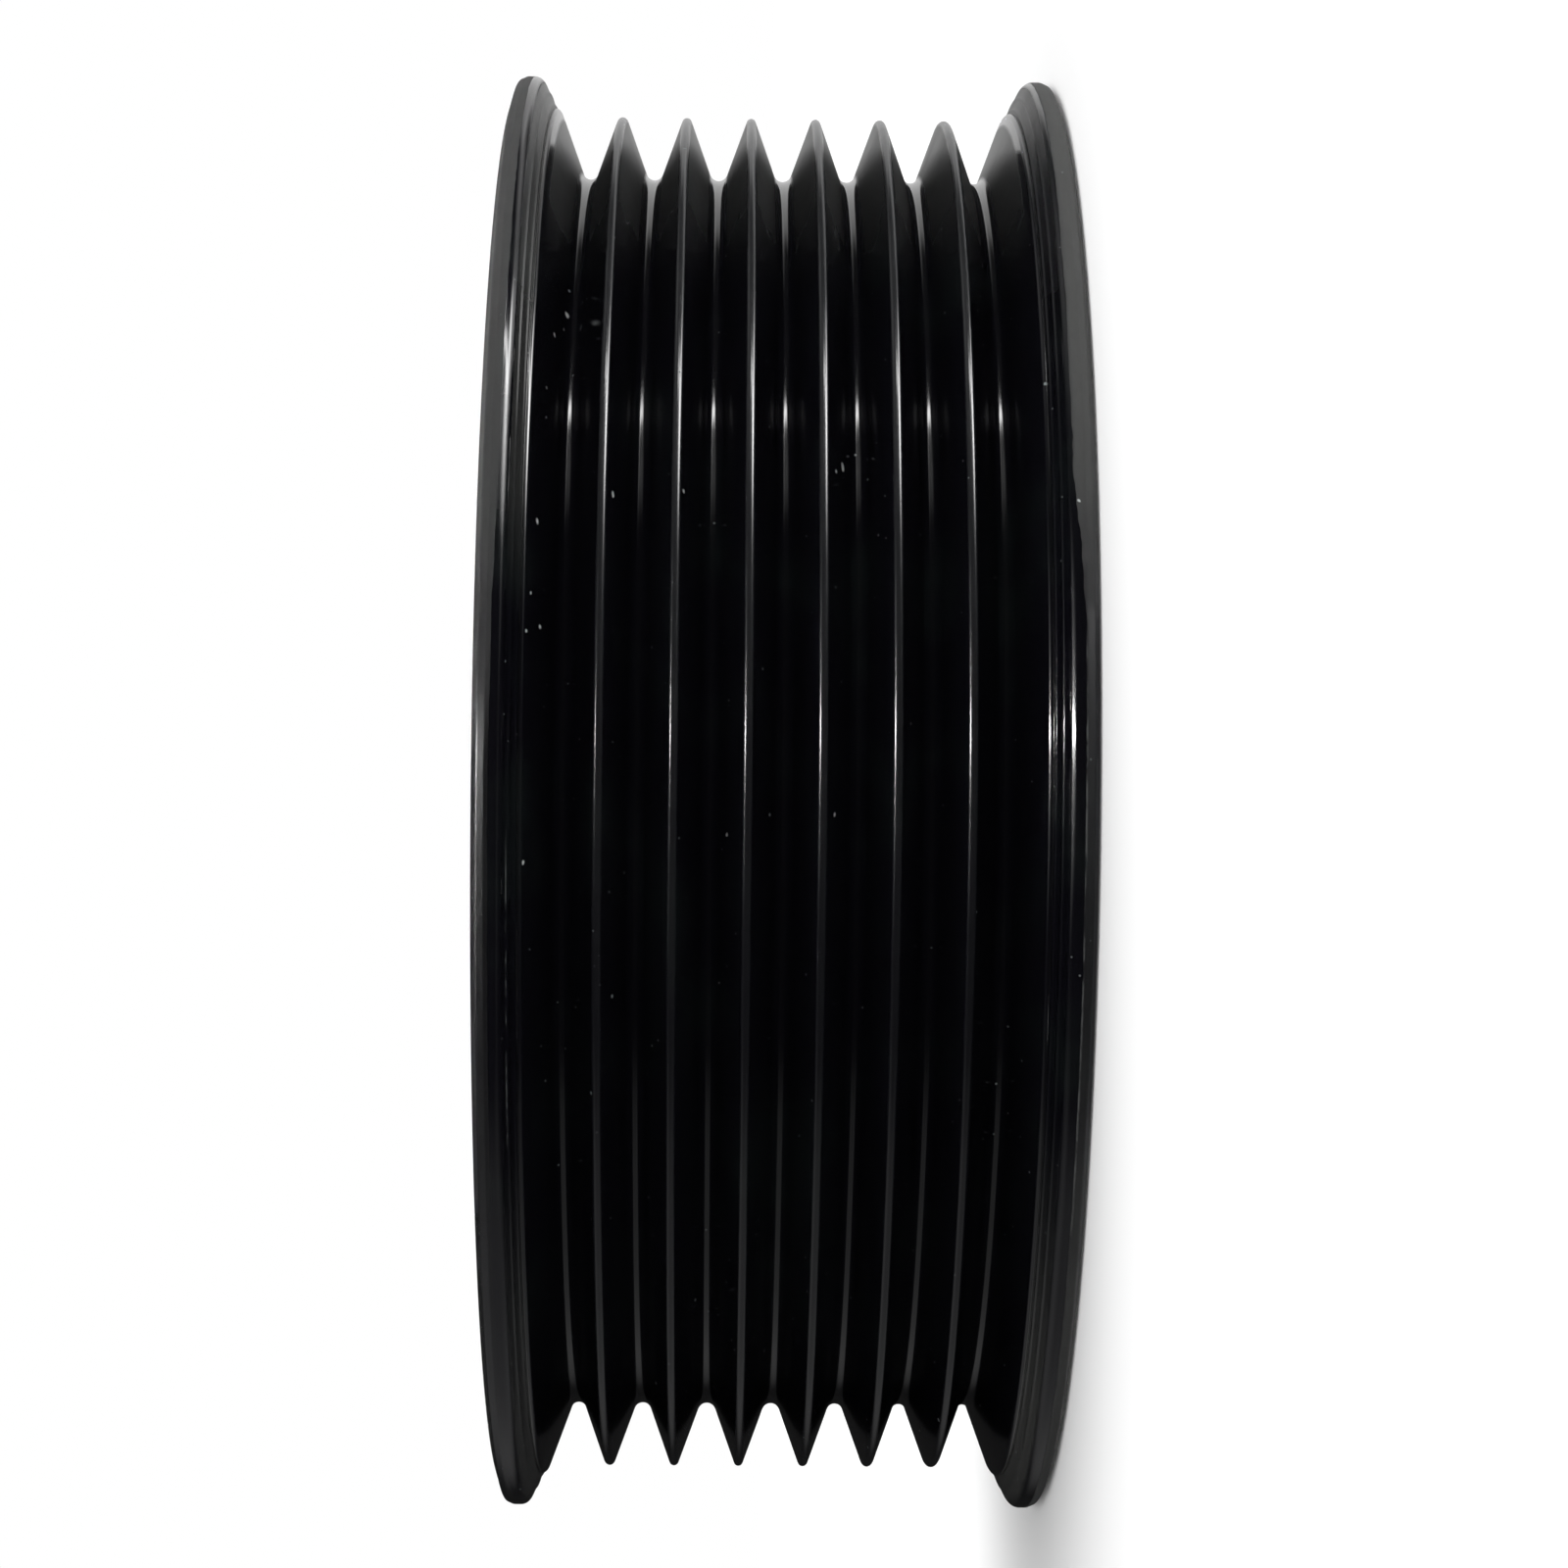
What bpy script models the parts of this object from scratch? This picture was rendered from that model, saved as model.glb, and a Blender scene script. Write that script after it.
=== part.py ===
"""Seven-groove ribbed-belt pulley, turned from one piece of steel and painted gloss black.

The pulley stands on its back face: +Z runs along the shaft axis towards the front face,
where the shaft nut goes, and the origin is the centre of the back face. Metres throughout.
"""

import math

import bpy

MM = 0.001

# Belt grooves
GROOVE_COUNT = 7
GROOVE_PITCH = 3.56 * MM
GROOVE_ANGLE = math.radians(40.0)
RIDGE_RADIUS = 37.95 * MM       # tips of the ridges between the grooves
TIP_ROUND = 0.20 * MM
ROOT_ROUND = 0.50 * MM

# Flanges that keep the belt on
FLANGE_WIDTH = 4.12 * MM        # last groove's centre to the side face
MOUTH_RISE = 0.45 * MM          # end of the groove wall, above the ridge tips
FLANGE_RISE = 2.17 * MM         # crest of the flange, above the ridge tips
BAND_ANGLE = math.radians(31.4)  # inner band of the flange, from the radial direction
SHOULDER_WIDTH = 0.65 * MM      # start of the sloping shoulder, from the side face
SHOULDER_DROP = 0.16 * MM       # end of the shoulder, below the crest
BEVEL_WIDTH = 0.30 * MM         # start of the steep bevel, from the side face
BEVEL_DROP = 1.18 * MM          # end of the bevel, below the crest
BAND_EDGE_ROUND = 0.15 * MM
CREST_ROUND = 0.40 * MM
OUTER_ROUND = 0.20 * MM         # edges of the shoulder and the bevel

# Rim, web and hub
RIM_WALL = 4.40 * MM            # under the groove roots
WEB_THICKNESS = 8.00 * MM
BACK_RECESS_DEPTH = 6.40 * MM
NUT_RECESS_DEPTH = 7.00 * MM    # front rim face to the hub's nut seat
HUB_RADIUS = 15.50 * MM
BORE_RADIUS = 8.50 * MM
RIM_CHAMFER = 0.80 * MM
HUB_CHAMFER = 0.60 * MM
BORE_CHAMFER = 0.80 * MM
RECESS_FILLET = 1.50 * MM

# Fineness of the turned surface
TURNS = 64
SHARP_ANGLE = math.radians(28.0)
MERGE_DISTANCE = 0.01 * MM
ARC_SHARE = 0.49                # of a side of the section that one arc may take

# Places that follow from the sizes
HALF_ANGLE = GROOVE_ANGLE / 2
WIDTH = (GROOVE_COUNT - 1) * GROOVE_PITCH + 2 * FLANGE_WIDTH
TIP_APEX = RIDGE_RADIUS + TIP_ROUND * (1 / math.sin(HALF_ANGLE) - 1)
ROOT_APEX = TIP_APEX - GROOVE_PITCH / 2 / math.tan(HALF_ANGLE)
ROOT_RADIUS = ROOT_APEX + ROOT_ROUND * (1 / math.sin(HALF_ANGLE) - 1)
MOUTH_RADIUS = RIDGE_RADIUS + MOUTH_RISE
CREST_RADIUS = RIDGE_RADIUS + FLANGE_RISE
RIM_INNER_RADIUS = ROOT_RADIUS - RIM_WALL
WEB_TOP = BACK_RECESS_DEPTH + WEB_THICKNESS
HUB_TOP = WIDTH - NUT_RECESS_DEPTH

BLACK_PAINT = (0.008, 0.008, 0.009, 1.0)
PAINT_ROUGHNESS = 0.14


def clear_scene():
    """Remove what the scene starts with."""
    for thing in list(bpy.data.objects):
        bpy.data.objects.remove(thing, do_unlink=True)


def flange_corners(side):
    """Corners of one flange, from the side face in to the mouth of its groove.

    side is +1 for the front flange and -1 for the back one. Each corner is
    (radius, height, rounding, steps of its arc).
    """
    face = side * WIDTH / 2
    wall = side * ((GROOVE_COUNT - 1) * GROOVE_PITCH / 2
                   + (MOUTH_RADIUS - ROOT_APEX) * math.tan(HALF_ANGLE))
    crest = wall + side * (CREST_RADIUS - MOUTH_RADIUS) * math.tan(BAND_ANGLE)
    profile = (
        (CREST_RADIUS - BEVEL_DROP, face, OUTER_ROUND, 1),
        (CREST_RADIUS - SHOULDER_DROP, face - side * BEVEL_WIDTH, OUTER_ROUND, 2),
        (CREST_RADIUS, face - side * SHOULDER_WIDTH, OUTER_ROUND, 1),
        (CREST_RADIUS, crest, CREST_ROUND, 3),
        (MOUTH_RADIUS, wall, BAND_EDGE_ROUND, 1),
    )
    return [(radius, WIDTH / 2 + height, rounding, steps)
            for radius, height, rounding, steps in profile]


def groove_corners():
    """Corners of the grooves, front to back: a root for each, and a tip between two."""
    corners = []
    first = WIDTH / 2 + (GROOVE_COUNT - 1) * GROOVE_PITCH / 2
    for number in range(GROOVE_COUNT):
        height = first - number * GROOVE_PITCH
        if number:
            corners.append((TIP_APEX, height + GROOVE_PITCH / 2, TIP_ROUND, 2))
        corners.append((ROOT_APEX, height, ROOT_ROUND, 2))
    return corners


def back_corners():
    """Corners of the back: rim face, recess, hub seat and the start of the bore."""
    return [
        (RIM_INNER_RADIUS, 0.0, RIM_CHAMFER, 1),
        (RIM_INNER_RADIUS, BACK_RECESS_DEPTH, RECESS_FILLET, 3),
        (HUB_RADIUS, BACK_RECESS_DEPTH, RECESS_FILLET, 3),
        (HUB_RADIUS, 0.0, HUB_CHAMFER, 1),
        (BORE_RADIUS, 0.0, BORE_CHAMFER, 1),
    ]


def front_corners():
    """Corners of the front: end of the bore, nut seat, recess and rim face."""
    return [
        (BORE_RADIUS, HUB_TOP, BORE_CHAMFER, 1),
        (HUB_RADIUS, HUB_TOP, HUB_CHAMFER, 1),
        (HUB_RADIUS, WEB_TOP, RECESS_FILLET, 3),
        (RIM_INNER_RADIUS, WEB_TOP, RECESS_FILLET, 3),
        (RIM_INNER_RADIUS, WIDTH, RIM_CHAMFER, 1),
    ]


def rounded(corners):
    """Points of a closed outline whose corners are rounded by arcs.

    An arc of one step is a chamfer. No arc takes as much as half of a side.
    """
    points = []
    for index, (radius, height, rounding, steps) in enumerate(corners):
        before = corners[index - 1]
        after = corners[(index + 1) % len(corners)]
        back = (before[0] - radius, before[1] - height)
        ahead = (after[0] - radius, after[1] - height)
        back_length = math.hypot(*back)
        ahead_length = math.hypot(*ahead)
        back = (back[0] / back_length, back[1] / back_length)
        ahead = (ahead[0] / ahead_length, ahead[1] / ahead_length)
        half = math.acos(back[0] * ahead[0] + back[1] * ahead[1]) / 2
        reach = min(rounding / math.tan(half), ARC_SHARE * back_length,
                    ARC_SHARE * ahead_length)
        fillet = reach * math.tan(half)
        middle = (back[0] + ahead[0], back[1] + ahead[1])
        scale = fillet / math.sin(half) / math.hypot(*middle)
        centre = (radius + middle[0] * scale, height + middle[1] * scale)
        start = (radius + back[0] * reach, height + back[1] * reach)
        angle = math.atan2(start[1] - centre[1], start[0] - centre[0])
        turn = math.pi - 2 * half
        if back[0] * ahead[1] - back[1] * ahead[0] > 0:
            turn = -turn
        for step in range(steps + 1):
            at = angle + turn * step / steps
            points.append((centre[0] + fillet * math.cos(at),
                           centre[1] + fillet * math.sin(at)))
    return points


def pulley_profile():
    """Half section of the pulley, down the outside, in, up the bore and out again."""
    corners = flange_corners(+1)
    corners += groove_corners()
    corners += reversed(flange_corners(-1))
    corners += back_corners()
    corners += front_corners()
    return rounded(corners)


def black_gloss():
    """Gloss black paint."""
    material = bpy.data.materials.new("black_gloss_paint")
    material.use_nodes = True
    shader = material.node_tree.nodes["Principled BSDF"]
    shader.inputs["Base Color"].default_value = BLACK_PAINT
    shader.inputs["Roughness"].default_value = PAINT_ROUGHNESS
    shader.inputs["Metallic"].default_value = 0.0
    return material


def turned(name, points, material, collection):
    """A solid of revolution about Z: a closed profile at +X, turned by a Screw modifier."""
    outline = bpy.data.meshes.new(name + "_outline")
    edges = [(index, (index + 1) % len(points)) for index in range(len(points))]
    outline.from_pydata([(radius, 0.0, height) for radius, height in points], edges, [])
    piece = bpy.data.objects.new(name, outline)
    collection.objects.link(piece)
    screw = piece.modifiers.new("turn", "SCREW")
    screw.axis = "Z"
    screw.angle = 2 * math.pi
    screw.steps = TURNS
    screw.render_steps = TURNS
    screw.use_merge_vertices = True
    screw.merge_threshold = MERGE_DISTANCE
    evaluated = piece.evaluated_get(bpy.context.evaluated_depsgraph_get())
    solid = bpy.data.meshes.new_from_object(evaluated)
    piece.modifiers.clear()
    piece.data = solid
    bpy.data.meshes.remove(outline)
    solid.name = name
    solid.shade_smooth()
    solid.set_sharp_from_angle(angle=SHARP_ANGLE)
    solid.materials.append(material)
    return piece


def build():
    """Build the pulley in a collection of its own."""
    clear_scene()
    collection = bpy.data.collections.new("belt_pulley")
    bpy.context.scene.collection.children.link(collection)
    return turned("pulley", pulley_profile(), black_gloss(), collection)


build()
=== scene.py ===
"""Gloss black ribbed-belt pulley on a pale studio floor.

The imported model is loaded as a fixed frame. The pulley stands on its back face, with its
shaft axis along +Z. The photograph shows it edge-on with the shaft axis level, so the camera
looks along +Y and is rolled a quarter turn: picture right is -Z and picture up is +X.
"""

import logging
import math
from dataclasses import dataclass, field
from enum import Enum
from typing import Any, ClassVar

import bpy
import numpy as np
from mathutils import Matrix, Vector


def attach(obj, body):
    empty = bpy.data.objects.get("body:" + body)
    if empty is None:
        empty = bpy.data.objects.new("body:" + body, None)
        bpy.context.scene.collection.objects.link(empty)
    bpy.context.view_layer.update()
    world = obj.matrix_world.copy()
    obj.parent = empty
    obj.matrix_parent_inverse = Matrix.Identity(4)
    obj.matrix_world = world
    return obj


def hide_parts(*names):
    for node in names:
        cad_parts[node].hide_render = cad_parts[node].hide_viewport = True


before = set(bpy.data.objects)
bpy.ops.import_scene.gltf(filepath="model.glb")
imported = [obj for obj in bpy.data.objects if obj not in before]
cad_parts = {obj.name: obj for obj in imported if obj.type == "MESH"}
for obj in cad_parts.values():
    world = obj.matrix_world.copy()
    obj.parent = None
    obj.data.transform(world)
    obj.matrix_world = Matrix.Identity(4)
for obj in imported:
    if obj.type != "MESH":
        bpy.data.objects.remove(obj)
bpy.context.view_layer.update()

LOG = logging.getLogger("belt_pulley")

MM = 0.001
PHOTO_SIDE = 1600        # pixels of the photograph's frame
SENSOR_WIDTH = 36.0      # of the camera, in mm
BODY = "root"
NODE = "pulley"
SLOT = "black_gloss_paint"

SECOND_MIRROR = 1.5      # glossy depth above which a ray left a mirror twice
LEAST_DEPTH = 0.001      # least part of a direction towards a patch's middle

Colour = tuple[float, float, float, float]
Direction = tuple[float, float, float]
PerAxis = tuple[float, float, float]
Span = tuple[float, float]               # where a smooth step begins and where it ends


# Shader maths

class Signal:
    """A shader socket, or a number, that adds Math nodes when used in an expression."""

    def __init__(self, tree: "ShaderTree", socket: Any) -> None:
        """Wrap a socket of a tree.

        Args:
            tree: the tree that the socket's node is in.
            socket: an output socket, or a plain number.
        """
        self.tree = tree
        self.socket = socket

    def _math(self, operation: str, *values: Any, clamp: bool = False) -> "Signal":
        """Add one Math node.

        Args:
            operation: the node's operation.
            values: its operands in order.
            clamp: keep the result between 0 and 1.

        Returns:
            The node's result.
        """
        return self.tree.signal("ShaderNodeMath",
                                {"operation": operation, "use_clamp": clamp},
                                dict(enumerate(values)))

    def __add__(self, other: Any) -> "Signal":
        """Sum."""
        return self._math("ADD", self, other)

    def __radd__(self, other: Any) -> "Signal":
        """Sum, reflected."""
        return self._math("ADD", other, self)

    def __sub__(self, other: Any) -> "Signal":
        """Difference."""
        return self._math("SUBTRACT", self, other)

    def __rsub__(self, other: Any) -> "Signal":
        """Difference, reflected."""
        return self._math("SUBTRACT", other, self)

    def __mul__(self, other: Any) -> "Signal":
        """Product."""
        return self._math("MULTIPLY", self, other)

    def __rmul__(self, other: Any) -> "Signal":
        """Product, reflected."""
        return self._math("MULTIPLY", other, self)

    def __truediv__(self, other: Any) -> "Signal":
        """Quotient."""
        return self._math("DIVIDE", self, other)

    def __rtruediv__(self, other: Any) -> "Signal":
        """Quotient, reflected."""
        return self._math("DIVIDE", other, self)

    def __pow__(self, other: Any) -> "Signal":
        """Power."""
        return self._math("POWER", self, other)

    def __abs__(self) -> "Signal":
        """Size without sign."""
        return self._math("ABSOLUTE", self)

    def above(self, other: Any) -> "Signal":
        """1 where this is above the other, and 0 elsewhere."""
        return self._math("GREATER_THAN", self, other)

    def largest(self, other: Any) -> "Signal":
        """The greater of two values."""
        return self._math("MAXIMUM", self, other)

    def slope_angle(self) -> "Signal":
        """Angle in degrees whose sine this is."""
        return self._math("DEGREES", self._math("ARCSINE", self))

    def clamped(self) -> "Signal":
        """The value kept between 0 and 1."""
        return self._math("ADD", self, 0.0, clamp=True)

    def ramp(self, low: Any, high: Any) -> "Signal":
        """Smooth step between two limits.

        Args:
            low: value at which the step is 0.
            high: value at which it is 1, which may be the smaller one.

        Returns:
            3 t^2 - 2 t^3, with t the share of the way from low to high, kept in 0 to 1.
        """
        return self.tree.signal("ShaderNodeMapRange", {"interpolation_type": "SMOOTHSTEP"},
                                {"Value": self, "From Min": low, "From Max": high},
                                output="Result")

    def near(self, level: float, span: Span) -> "Signal":
        """Smooth step between two distances from a level."""
        return self.ramp(level + span[0], level + span[1])

    def mixed(self, low: Any, high: Any) -> "Signal":
        """A value between two others, with this as the share of the second."""
        return low + self * (high - low)


class ShaderTree:
    """A node tree that is filled through one method."""

    def __init__(self, tree: bpy.types.NodeTree) -> None:
        """Empty a node tree and wrap it."""
        self.tree = tree
        tree.nodes.clear()

    def node(self, kind: str, settings: dict[str, Any] | None = None,
             inputs: dict[Any, Any] | None = None) -> bpy.types.Node:
        """Add a node, set it and feed its sockets.

        Args:
            kind: the node's type name.
            settings: attributes that are set first.
            inputs: socket name or number to a value, a Signal or a socket.

        Returns:
            The node.
        """
        made = self.tree.nodes.new(kind)
        for name, value in (settings or {}).items():
            setattr(made, name, value)
        for name, value in (inputs or {}).items():
            if isinstance(value, Signal):
                value = value.socket
            if isinstance(value, bpy.types.NodeSocket):
                self.tree.links.new(value, made.inputs[name])
            else:
                made.inputs[name].default_value = value
        return made

    def signal(self, kind: str, settings: dict[str, Any] | None = None,
               inputs: dict[Any, Any] | None = None, output: Any = 0) -> Signal:
        """Add a node and wrap one of its outputs."""
        return Signal(self, self.node(kind, settings, inputs).outputs[output])

    def axes(self, vector: Any) -> tuple[Signal, Signal, Signal]:
        """Split a vector into its X, Y and Z."""
        made = self.node("ShaderNodeSeparateXYZ", {}, {"Vector": vector})
        return tuple(Signal(self, made.outputs[axis]) for axis in "XYZ")

    def blend(self, factor: Any, low: Any, high: Any) -> Signal:
        """Mix two colours."""
        return self.signal("ShaderNodeMix", {"data_type": "RGBA"},
                           {"Factor": factor, 6: low, 7: high}, output=2)

    def noise(self, vector: Any, scale: float, detail: float = 2.0, roughness: float = 0.5,
              output: str = "Fac") -> Signal:
        """Cloudy noise from 0 to 1, or its colour."""
        return self.signal("ShaderNodeTexNoise", {},
                           {"Vector": vector, "Scale": scale, "Detail": detail,
                            "Roughness": roughness}, output=output)

    def vector(self, operation: str, first: Any, second: Any, output: Any = 0) -> Signal:
        """Vector Math on two vectors."""
        return self.signal("ShaderNodeVectorMath", {"operation": operation},
                           {0: first, 1: second}, output=output)

    def shaken(self, vector: Any, scale: float, reach: float) -> Signal:
        """A vector moved by noise of the scale, by up to half of the reach each way."""
        shake = self.vector("SUBTRACT", self.noise(vector, scale, output="Color"),
                            (0.5, 0.5, 0.5))
        return self.vector("ADD", vector, self.vector("MULTIPLY", shake, (reach,) * 3))


# The turned section

@dataclass(frozen=True)
class Corner:
    """One corner of the turned section, in mm.

    Attributes:
        radius: distance from the shaft axis.
        height: place along the shaft axis, from the back face.
        rounding: radius of the arc that rounds the corner, or 0 for a plain point.
        steps: number of chords in that arc.
    """

    radius: float
    height: float
    rounding: float
    steps: int = 6


@dataclass(frozen=True)
class TurnedSection:
    """Half section of the pulley in mm, with the sizes that its maker would set.

    Attributes:
        groove_count: number of grooves.
        groove_pitch: distance from one groove to the next.
        groove_angle: angle between a groove's walls, in degrees.
        ridge_radius: radius over the ridge tips.
        tip_round: rounding of the ridge tips.
        root_round: rounding of the groove roots.
        flange_width: from the last groove's middle to the side face.
        mouth_rise: end of the outermost groove wall, above the ridge tips.
        mouth_round: rounding of that end.
        flange_rise: crest of the flange, above the ridge tips.
        crest_insets: inner edge of the crest, from the front face and from the back face.
        crest_round: rounding of that edge.
        shoulder_width: start of the sloping shoulder, from the side face.
        shoulder_drop: end of the shoulder, below the crest.
        bevel_width: start of the steep bevel, from the side face.
        bevel_drop: end of the bevel, below the crest.
        outer_round: rounding of the shoulder's and the bevel's edges.
        rim_wall: thickness under the groove roots.
        web_thickness: thickness of the web.
        back_recess_depth: depth of the recess in the back.
        nut_recess_depth: from the front face down to the hub's nut seat.
        hub_radius: radius of the hub.
        bore_radius: radius of the bore.
        recess_fillet: fillets in both recesses.
        rim_chamfer: chamfers of the rim's faces and of the bore.
        hub_chamfer: chamfers of the hub's seats.
        edge_round: rounding of the chamfers' own edges.
        ledge: breadth of the flat between the outermost groove wall and the flange's band.
        ledge_round: rounding where the flat meets the band.
        ring_places: turned rings, as shares of the way up the band.
        ring_height: height of a ring.
        ring_spread: half breadth of a ring, as a share of that way.
        gap_place: gap in the band's painted light, as a share of that way.
        band_points: number of points along the band.
        band_margins: shares of the band left bare at the crest's arc and at the ledge.
        support: from the end of an arc to the point that holds its shading.
        support_share: greatest share of a side that this may take.
    """

    groove_count: int = 7
    groove_pitch: float = 3.56
    groove_angle: float = 40.0
    ridge_radius: float = 37.95
    tip_round: float = 0.25
    root_round: float = 0.50
    flange_width: float = 4.12
    mouth_rise: float = 0.45
    mouth_round: float = 0.26
    flange_rise: float = 2.17
    crest_insets: tuple[float, float] = (1.38, 1.35)
    crest_round: float = 0.50
    shoulder_width: float = 0.68
    shoulder_drop: float = 0.16
    bevel_width: float = 0.30
    bevel_drop: float = 1.18
    outer_round: float = 0.20
    rim_wall: float = 4.40
    web_thickness: float = 8.00
    back_recess_depth: float = 6.40
    nut_recess_depth: float = 7.00
    hub_radius: float = 15.50
    bore_radius: float = 8.50
    recess_fillet: float = 1.50
    rim_chamfer: float = 0.80
    hub_chamfer: float = 0.60
    edge_round: float = 0.12
    ledge: float = 0.215
    ledge_round: float = 0.02
    ring_places: tuple[float, ...] = (0.10, 0.48)
    ring_height: float = 0.052
    ring_spread: float = 0.06
    gap_place: float = 0.82
    band_points: int = 34
    band_margins: tuple[float, float] = (0.01, 0.03)
    support: float = 0.04
    support_share: float = 0.15

    @property
    def half_angle(self) -> float:
        """Half of the groove's angle, in radians."""
        return math.radians(self.groove_angle / 2)

    @property
    def width(self) -> float:
        """Overall width along the shaft axis."""
        return (self.groove_count - 1) * self.groove_pitch + 2 * self.flange_width

    @property
    def tip_apex(self) -> float:
        """Radius at which a ridge's flanks would meet."""
        return self.ridge_radius + self.tip_round * (1 / math.sin(self.half_angle) - 1)

    @property
    def root_apex(self) -> float:
        """Radius at which a groove's walls would meet."""
        return self.tip_apex - self.groove_pitch / 2 / math.tan(self.half_angle)

    @property
    def root_radius(self) -> float:
        """Radius at the bottom of the grooves."""
        return self.root_apex + self.root_round * (1 / math.sin(self.half_angle) - 1)

    @property
    def crest_radius(self) -> float:
        """Radius of the flanges."""
        return self.ridge_radius + self.flange_rise

    @property
    def mouth_radius(self) -> float:
        """Radius at which the outermost groove walls end."""
        return self.ridge_radius + self.mouth_rise

    @property
    def mouth_offset(self) -> float:
        """Distance from mid-width to the end of the outermost groove walls."""
        return ((self.groove_count - 1) * self.groove_pitch / 2
                + (self.mouth_radius - self.root_apex) * math.tan(self.half_angle))

    @property
    def gap_offset(self) -> float:
        """Distance from mid-width to the gap in a flange band's painted light."""
        foot = self.mouth_offset + self.ledge
        return foot + self.gap_place * (self.width / 2 - sum(self.crest_insets) / 2 - foot)

    def flange(self, side: int) -> list[Corner]:
        """Corners of one flange, from the side face in to its groove.

        Args:
            side: +1 for the front flange, -1 for the back one.

        Returns:
            The corners, with the fine turned rings on the band.
        """
        middle = self.width / 2
        front_inset, back_inset = self.crest_insets
        crest = middle - (front_inset if side > 0 else back_inset)
        offsets = [
            Corner(self.crest_radius - self.bevel_drop, middle, self.outer_round, 3),
            Corner(self.crest_radius - self.shoulder_drop, middle - self.bevel_width,
                   self.outer_round, 4),
            Corner(self.crest_radius, middle - self.shoulder_width, self.outer_round, 3),
            Corner(self.crest_radius, crest, self.crest_round, 12),
            *self.band(crest),
            Corner(self.mouth_radius, self.mouth_offset + self.ledge, self.ledge_round, 2),
            Corner(self.mouth_radius, self.mouth_offset, self.mouth_round, 9),
        ]
        return [Corner(corner.radius, middle + side * corner.height, corner.rounding,
                       corner.steps) for corner in offsets]

    def band(self, crest: float) -> list[Corner]:
        """Plain points of the band that slopes from the crest down to the ledge.

        At the share s of the way from the ledge to the crest's edge, the band rises by
        h exp(-((s - r) / w)^2) at each turned ring r. The rounding R of the crest's edge
        takes R tan(t / 2) of the band, with t the angle by which the outline turns there.

        Args:
            crest: distance from mid-width to the crest's inner edge.

        Returns:
            The points from the crest down, with heights measured from mid-width.
        """
        foot = np.array((self.mouth_radius, self.mouth_offset + self.ledge))
        head = np.array((self.crest_radius, crest))
        length = np.hypot(*(head - foot))
        along = (head - foot) / length
        out = np.array((along[1], -along[0]))
        turn = math.pi / 2 - math.atan2(along[1], along[0])
        crest_arc = self.crest_round * math.tan(turn / 2)
        top_margin, bottom_margin = self.band_margins
        share = np.linspace(1 - crest_arc / length - top_margin, bottom_margin,
                            self.band_points)
        rise = sum(self.ring_height * np.exp(-((share - ring) / self.ring_spread) ** 2)
                   for ring in self.ring_places)
        points = foot + share[:, None] * (head - foot) + rise[:, None] * out
        return [Corner(radius, height, 0.0) for radius, height in points]

    def grooves(self) -> list[Corner]:
        """Corners of the grooves, front to back: a root each, and a tip between two.

        The root of groove n lies n pitches behind the first one's, and the tip before it half
        a pitch in front of it.

        Returns:
            The corners.
        """
        corners = []
        first = (self.width + (self.groove_count - 1) * self.groove_pitch) / 2
        for number in range(self.groove_count):
            height = first - number * self.groove_pitch
            if number:
                corners.append(Corner(self.tip_apex, height + self.groove_pitch / 2,
                                      self.tip_round, 8))
            corners.append(Corner(self.root_apex, height, self.root_round, 8))
        return corners

    def chamfered(self, radius: float, height: float, chamfer: float, outward: int,
                  upward: int) -> list[Corner]:
        """The two corners of a chamfer on a turned edge.

        Args:
            radius: radius of the edge before the chamfer.
            height: height of that edge.
            chamfer: size of the chamfer.
            outward: +1 if the face runs out from the edge, -1 if it runs in.
            upward: +1 if the wall runs up from the edge, -1 if it runs down.

        Returns:
            The corner on the face and the corner on the wall.
        """
        return [Corner(radius + outward * chamfer, height, self.edge_round, 2),
                Corner(radius, height + upward * chamfer, self.edge_round, 2)]

    def inside(self) -> list[Corner]:
        """Corners of the back recess, the hub with its bore, and the front recess.

        Returns:
            The corners from the rim's back face round to its front face.
        """
        rim = self.root_radius - self.rim_wall
        web_top = self.back_recess_depth + self.web_thickness
        hub_top = self.width - self.nut_recess_depth
        return [
            *self.chamfered(rim, 0.0, self.rim_chamfer, +1, +1),
            Corner(rim, self.back_recess_depth, self.recess_fillet),
            Corner(self.hub_radius, self.back_recess_depth, self.recess_fillet),
            *reversed(self.chamfered(self.hub_radius, 0.0, self.hub_chamfer, -1, +1)),
            *self.chamfered(self.bore_radius, 0.0, self.rim_chamfer, +1, +1),
            *reversed(self.chamfered(self.bore_radius, hub_top, self.rim_chamfer, +1, -1)),
            *self.chamfered(self.hub_radius, hub_top, self.hub_chamfer, -1, -1),
            Corner(self.hub_radius, web_top, self.recess_fillet),
            Corner(rim, web_top, self.recess_fillet),
            *reversed(self.chamfered(rim, self.width, self.rim_chamfer, +1, -1)),
        ]

    def corners(self) -> list[Corner]:
        """All corners: down the outside, across the back, up the bore and out the front."""
        return (self.flange(+1) + self.grooves() + list(reversed(self.flange(-1)))
                + self.inside())

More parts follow.
